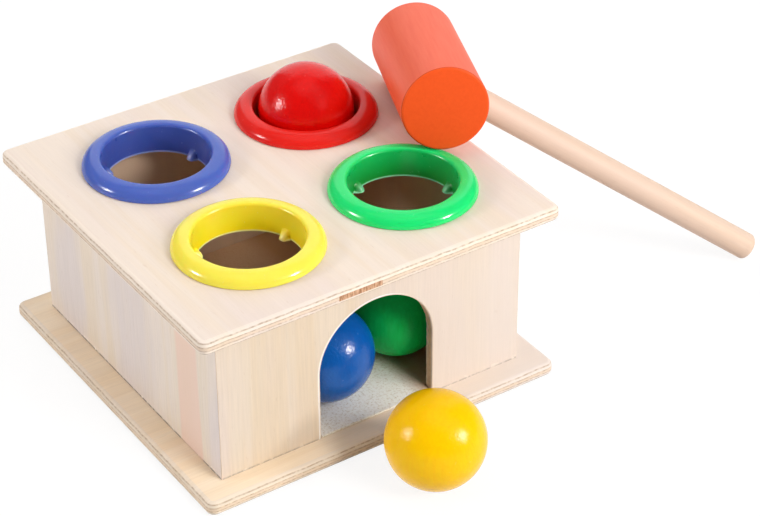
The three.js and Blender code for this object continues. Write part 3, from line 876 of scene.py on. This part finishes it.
def ring(node, nub_angle):
    low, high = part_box(node)
    flange = (high.x - low.x) / 2
    seat = high.z - FLANGE_HEIGHT
    rim = CROWN + FLANGE_HEIGHT
    shape = bmesh.new()
    section = [
        shape.verts.new((radius, 0, z))
        for radius, z in (
            (BORE, low.z), (SLEEVE, low.z), (SLEEVE, seat), (rim, seat), (rim, high.z), (MOUTH, high.z),
        )
    ]
    shape.faces.new(section)
    for verts, offset, segments in (
        ([section[4]], FLANGE_ROUND, 14), ([section[5]], MOUTH_ROUND, 8), (section[:2], FOOT_ROUND, 3),
    ):
        bevel(shape, verts, offset, segments, affect="VERTICES")
    for vert in shape.verts:
        if vert.co.x > CROWN:
            vert.co.x = CROWN + (vert.co.x - CROWN) * (flange - CROWN) / FLANGE_HEIGHT
    bmesh.ops.delete(shape, geom=shape.faces[:], context="FACES_ONLY")
    for step in range(1, NUB_LEVELS + 1):
        level = low.z + NUB_RISE * step / NUB_LEVELS
        lines = shape.verts[:] + shape.edges[:]
        bmesh.ops.bisect_plane(shape, geom=lines, plane_co=(0, 0, level), plane_no=(0, 0, 1))
    spin(shape, (0, 0, 1), SPIN_STEPS)
    bmesh.ops.recalc_face_normals(shape, faces=shape.faces[:])
    for vert in shape.verts:
        radius = math.hypot(vert.co.x, vert.co.y)
        turn = math.remainder(math.atan2(vert.co.y, vert.co.x), 2 * math.pi / 3)
        spread = abs(turn) * BORE / NUB_HALF_WIDTH
        rise = (vert.co.z - low.z) / NUB_RISE
        if spread < 1 and rise < 1 and radius < BORE + BORE_WALL:
            spread = min(1, spread / (1 - NUB_TAPER * rise))
            pull = NUB_REACH * (1 - spread ** 3) ** 0.5 * (1 - rise ** 2)
            vert.co.x *= (radius - pull) / radius
            vert.co.y *= (radius - pull) / radius
    turned = Matrix.Rotation(math.radians(nub_angle), 3, "Z")
    bmesh.ops.rotate(shape, verts=shape.verts[:], cent=(0, 0, 0), matrix=turned)
    middle = ((low.x + high.x) / 2, (low.y + high.y) / 2, 0)
    bmesh.ops.translate(shape, verts=shape.verts[:], vec=middle)
    return shape


# %% [markdown]
# Moulded polyethylene has an even colour that glows a little where light gets into the thin lip, a
# gloss that is broken by faint flow marks, and a few specks and scuffs from handling. The bore is
# painted in a deeper colour as shade and is duller than the flange, and the thin foot and the tips of
# the nubs are painted pale as highlights.

# %% Moulded plastic
GLOW_DEPTH = 3 * MM
FLOW_MARKS = 14 * MM
SCUFFS = 5 * MM
# Dust is finer on the toy: it is drawn coarser to show at all
SPECKS = 0.9 * MM


def moulded_plastic(name, color, deep, speck_and_highlight, bore_shade, level, low, high):
    material, tree, shader, where = new_material(
        name, IOR=1.51, Specular_IOR_Level=level, Subsurface_Weight=0.3, Subsurface_Scale=GLOW_DEPTH,
    )
    place = add(tree, "Mapping", {
        "Vector": where, "Location": ((low.x + high.x) / 2, (low.y + high.y) / 2, low.z),
    }, vector_type="TEXTURE")
    place = add(tree, "SeparateXYZ", {0: place}, out=None)
    radius = add(tree, "CombineXYZ", {"X": place["X"], "Y": place["Y"]})
    radius = add(tree, "VectorMath", {0: radius}, operation="LENGTH", out="Value")
    in_bore = add(tree, "MapRange", {
        "Value": radius, "From Min": MOUTH + 0.5 * MM, "From Max": BORE + 0.1 * MM,
    })
    at_tip = add(tree, "MapRange", {
        "Value": radius, "From Min": BORE - 0.2 * MM, "From Max": BORE - 2 * MM, "To Max": 0.4,
    })
    at_foot = add(tree, "MapRange", {
        "Value": place["Z"], "From Min": 0.9 * MM, "From Max": 0.4 * MM, "To Max": 0.85,
    })
    # Painted highlight: pale at the foot edge of the sleeve and at the nub tips
    painted_highlight = add(tree, "Math", {0: at_tip, 1: at_foot}, operation="MAXIMUM")
    flow = add(tree, "TexNoise", {"Vector": where, "Scale": 1 / FLOW_MARKS, "Detail": 3, "Distortion": 0.6})
    dust = add(tree, "TexNoise", {"Vector": where, "Scale": 1 / SPECKS, "Detail": 1})
    dust = add(tree, "MapRange", {"Value": dust, "From Min": 0.72, "From Max": 0.8, "To Max": 0.22})
    tone = color
    # The bore colour is painted shade; the speck colour also paints the highlights at the foot and nub tips
    for share, over in ((flow, deep), (in_bore, bore_shade), (painted_highlight, speck_and_highlight), (dust, speck_and_highlight)):
        tone = add(tree, "Mix", {0: share, 6: tone, 7: over}, **COLORS)
    scuff = add(tree, "TexNoise", {"Vector": where, "Scale": 1 / SCUFFS, "Detail": 4})
    dull = add(tree, "MapRange", {
        "Value": scuff, "From Min": 0.35, "From Max": 0.7, "To Min": 0.16, "To Max": 0.24,
    })
    dull = add(tree, "Math", {0: in_bore, 1: 0.2, 2: dull}, operation="MULTIPLY_ADD")
    dress(tree, shader, tone, scuff, 0.25, 0.06 * MM, dull)
    return material


# %% Four rings
# Each ring: the angle of its nubs, its colour, the colour of its flow marks, of its specks and painted
# highlights, and of the painted shade in its bore, its gloss.
# The blue is a greyish cornflower, the red and green are strong, the yellow is a light lemon.
RINGS = {
    "blue": (17, "#546EC8", "#4661BA", "#A9B8F0", "#384CA0", 0.42),
    "red": (40, "#EC2A22", "#E02019", "#F68A80", "#D21812", 0.25),
    "green": (-5, "#22EC80", "#18E074", "#A8F8CC", "#008E2E", 0.42),
    "yellow": (17, "#FFF25C", "#FFEA4A", "#FFFBC0", "#FFE20A", 0.42),
}
for color, (nub_angle, *look) in RINGS.items():
    node = f"{color}_ring"
    plastic = moulded_plastic(f"polyethylene_{color}", *look, *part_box(node))
    shape = ring(node, nub_angle)
    make_piece(f"{color}_ring_moulded", shape, [plastic], "box", node)

# %% [markdown]
# ## Balls
# The balls are turned from wood, dipped in gloss paint and not quite perfect: the paint lies in shallow
# waves over the wood, which break up the edges of each highlight, and two small flats stay where the
# ball was parted from its rod. A fine icosphere takes those waves as real relief.

# %% Ball shape
LONG_WAVE = 9 * MM
LONG_WAVE_DEPTH = 0.05 * MM
SHORT_WAVE = 2.2 * MM
SHORT_WAVE_DEPTH = 0.012 * MM
FLAT_DEPTH = 0.16 * MM
FLATTENING = 0.8


def ball(node, parted):
    low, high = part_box(node)
    radius = min(high - low) / 2
    axis = Vector(parted).normalized()
    shape = bmesh.new()
    bmesh.ops.create_icosphere(shape, subdivisions=6, radius=radius)
    for vert in shape.verts:
        outward = vert.co.normalized()
        long_wave = LONG_WAVE_DEPTH * (1 + noise.noise(vert.co / LONG_WAVE))
        short_wave = SHORT_WAVE_DEPTH * (1 + noise.noise(vert.co / SHORT_WAVE))
        vert.co -= outward * (long_wave + short_wave)
        over = abs(vert.co.dot(axis)) - (radius - FLAT_DEPTH)
        if over > 0:
            vert.co -= axis * math.copysign(over * FLATTENING, vert.co.dot(axis))
    bmesh.ops.translate(shape, verts=shape.verts[:], vec=(low + high) / 2)
    return shape


# %% [markdown]
# The paint is an opaque enamel. Wood fibres show through as faint streaks, the skin is pebbled as a
# dipped finish is, and a few nibs of dust stand in it.

# %% Enamel
# Fibres, nibs and pebbles are finer on the toy: they are drawn coarser to show at all
STREAK = (1.1 * MM, 1.1 * MM, 14 * MM)
NIBS = 1.3 * MM
PEBBLES = 0.9 * MM
SKIN_HEIGHT = 0.4 * MM


def enamel(name, color, deep, nib, level, gloss=(0.16, 0.22), relief=0.4, turn=(0, 0, 0)):
    material, tree, shader, where = new_material(name, IOR=1.5, Specular_IOR_Level=level)
    fibres = add(tree, "Mapping", {"Vector": where, "Rotation": turn, "Scale": STREAK}, vector_type="TEXTURE")
    fibres = add(tree, "TexNoise", {"Vector": fibres, "Scale": 1, "Detail": 3})
    streak = add(tree, "MapRange", {"Value": fibres, "From Min": 0.35, "From Max": 0.7})
    tone = add(tree, "Mix", {0: streak, 6: color, 7: deep}, **COLORS)
    dust = add(tree, "TexNoise", {"Vector": where, "Scale": 1 / NIBS, "Detail": 1})
    dust = add(tree, "MapRange", {"Value": dust, "From Min": 0.75, "From Max": 0.8, "To Max": 0.2})
    tone = add(tree, "Mix", {0: dust, 6: tone, 7: nib}, **COLORS)
    dull = add(tree, "MapRange", {
        "Value": fibres, "From Min": 0.3, "From Max": 0.7, "To Min": gloss[0], "To Max": gloss[1],
    })
    pebble = add(tree, "TexNoise", {"Vector": where, "Scale": 1 / PEBBLES, "Detail": 2})
    skin = add(tree, "Mix", {0: 0.2, 2: pebble, 3: fibres})
    dress(tree, shader, tone, skin, relief, SKIN_HEIGHT, dull)
    print(name, "made")
    return material


# %% Four balls
# Each ball: the axis it was turned on, its colour, the colour of its streaks and nibs, its gloss.
# Deep wet colours with small sharp highlights: signal red, mid blue, leaf green and egg yellow.
BALLS = {
    "red": ((0.83, -0.56, 0.1), "#E80A05", "#E00804", "#F26A60", 0.3),
    "blue": ((0.83, -0.56, -0.2), "#065CB4", "#0456AC", "#7FA8DC", 0.36),
    "green": ((0.8, -0.6, 0.2), "#14C45C", "#10BA54", "#6CC48C", 0.1),
    "yellow": ((0.83, -0.56, 0.3), "#FFCC00", "#FFC600", "#FFE78A", 0.17),
}
for color, (parted, *look) in BALLS.items():
    node = f"{color}_ball"
    paint = enamel(f"gloss_enamel_{color}", *look)
    make_piece(f"{color}_ball_painted", ball(node, parted), [paint], node, node)

# %% [markdown]
# ## Hammer
# The head is a painted cylinder that leans on a ring and on the rim of the top plate, and the handle is
# a plain dowel glued into its side that slopes down to the floor. Both are spun sections in the hammer's
# own axes, head along X and handle down Z, and one matrix then lays them in place.

# %% Hammer shape
HEAD_BEARING = math.radians(66)
HEAD_TILT = math.radians(6.12)
HEAD_RADIUS = 15.58 * MM
HEAD_LENGTH = 61.4 * MM
HEAD_EDGE = 0.9 * MM
HANDLE_RADIUS = 5.1 * MM
HANDLE_REACH = 148.5 * MM
HANDLE_TAIL = 4.4 * MM
HANDLE_END = 1.6 * MM

low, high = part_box("hammer_head")
head_middle = (low + high) / 2
end_corner = math.hypot(HANDLE_REACH, HANDLE_RADIUS)
slope = math.asin(head_middle.z / end_corner) - math.atan(HANDLE_RADIUS / HANDLE_REACH)
head_roll = math.asin(math.sin(slope) / math.cos(HEAD_TILT))
hammer_turn = (
    Matrix.Rotation(HEAD_BEARING, 4, "Z")
    @ Matrix.Rotation(HEAD_TILT, 4, "Y")
    @ Matrix.Rotation(head_roll - math.pi / 2, 4, "X")
)
hammer_place = Matrix.Translation(head_middle) @ hammer_turn
print("handle slopes", round(math.degrees(slope), 1), "degrees")


def spun(section, rounded, axis, steps):
    """Corners of (radius, distance along the axis), some of them rounded, turned about X or Z."""
    about_x = axis == "X"
    shape = bmesh.new()
    verts = [
        shape.verts.new((along, 0, radius) if about_x else (radius, 0, along)) for radius, along in section
    ]
    shape.faces.new(verts)
    for index, offset, segments in rounded:
        bevel(shape, [verts[index]], offset, segments, affect="VERTICES")
    bmesh.ops.delete(shape, geom=shape.faces[:], context="FACES_ONLY")
    centre_line = [
        edge for edge in shape.edges
        if all(math.hypot(v.co.y, v.co.z if about_x else v.co.x) < TINY for v in edge.verts)
    ]
    bmesh.ops.delete(shape, geom=centre_line, context="EDGES")
    spin(shape, (1, 0, 0) if about_x else (0, 0, 1), steps)
    bmesh.ops.remove_doubles(shape, verts=shape.verts[:], dist=TINY)
    bmesh.ops.transform(shape, matrix=hammer_place, verts=shape.verts[:])
    return shape


# %% [markdown]
# The head's orange paint is a thinner satin enamel, so its sheen is broad and the turned wood shows in
# it. Its ends are duller and the rounding of its edges is a darker orange.

# %% Hammer head
END_SLOT = 1
EDGE_SLOT = 2
ORANGE = {
    # Satin paint: a broad soft sheen along the cylinder instead of a sharp highlight
    "satin_enamel_orange": ("#FB5C22", "#F8561E", "#D2502A", 1.0, (0.48, 0.53), 0.02),
    # Matte ends: an even orange disc with no sheen
    "matte_enamel_orange_ends": ("#F85A1E", "#F4561C", "#DC4A18", 0.15, (0.5, 0.6), 0.02),
    # Edge: a thin darker line that draws the outline of each end
    "darker_enamel_orange_edge": ("#C8461A", "#DE5620", "#8A3A1A", 0.2, (0.5, 0.6), 0.1),
}

half = HEAD_LENGTH / 2
head_section = [(0, -half), (HEAD_RADIUS, -half), (HEAD_RADIUS, half), (0, half)]
head = spun(head_section, ((1, HEAD_EDGE, 5), (2, HEAD_EDGE, 5)), "X", 144)
head_axis = (hammer_turn @ Matrix.Rotation(math.pi / 2, 4, "Y")).to_euler()
paints = [enamel(name, *look, turn=head_axis) for name, look in ORANGE.items()]
head_line = hammer_turn.to_3x3() @ Vector((1, 0, 0))
head.normal_update()
for face in head.faces:
    facing = abs(face.normal.dot(head_line))
    face.material_index = END_SLOT if facing > 0.6 else EDGE_SLOT if facing > 0.2 else 0
make_piece("hammer_head_painted", head, paints, "hammer", "hammer_head")

# %% [markdown]
# The handle is clear sealed beech. It takes the same grain as the plywood, turned to run along the
# dowel, in pinker tones.

# %% Hammer handle
BEECH = ("#E9D0BC", "#E6C9B1", "#E4C9B7", "#B08460")

handle_section = [
    (0, -HANDLE_REACH), (HANDLE_RADIUS, -HANDLE_REACH), (HANDLE_RADIUS, HANDLE_TAIL), (0, HANDLE_TAIL),
]
handle = spun(handle_section, ((1, HANDLE_END, 6),), "Z", 72)
# Beech: a warm pinkish stick, darker than the box it leans on
beech, tree, shader, where = new_material(
    "sealed_beech_dowel", Roughness=0.55, IOR=1.48, Specular_IOR_Level=0.35,
)
tone, fibres = grain(tree, where, 2, BEECH, turn=hammer_turn.to_euler(), centre=head_middle)
dress(tree, shader, tone, fibres, 0.35, 0.06 * MM)
make_piece("hammer_handle_turned", handle, [beech], "hammer", "hammer_handle")

# %% [markdown]
# ## Brads
# Eight wire brads hold the base to the walls. Only their heads show, sunk in the underside, so the CAD
# nodes stay and take a bright drawn steel with fine scratches.

# %% Brad steel
SCRATCHES = 0.3 * MM

# Steel: small bright dots in the pale underside, dulled by scratches
steel, tree, shader, where = new_material("drawn_steel_wire", Metallic=1.0)
scratch = add(tree, "TexNoise", {"Vector": where, "Scale": 1 / SCRATCHES, "Detail": 3})
tone = add(tree, "Mix", {0: scratch, 6: "#9FA3A8", 7: "#CFD2D6"}, **COLORS)
tree.links.new(tone, shader.inputs["Base Color"])
dull = add(tree, "MapRange", {"Value": scratch, "To Min": 0.25, "To Max": 0.5})
tree.links.new(dull, shader.inputs["Roughness"])
for node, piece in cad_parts.items():
    if node.startswith("brad_"):
        piece.data.materials.clear()
        piece.data.materials.append(steel)
print("brads finished")
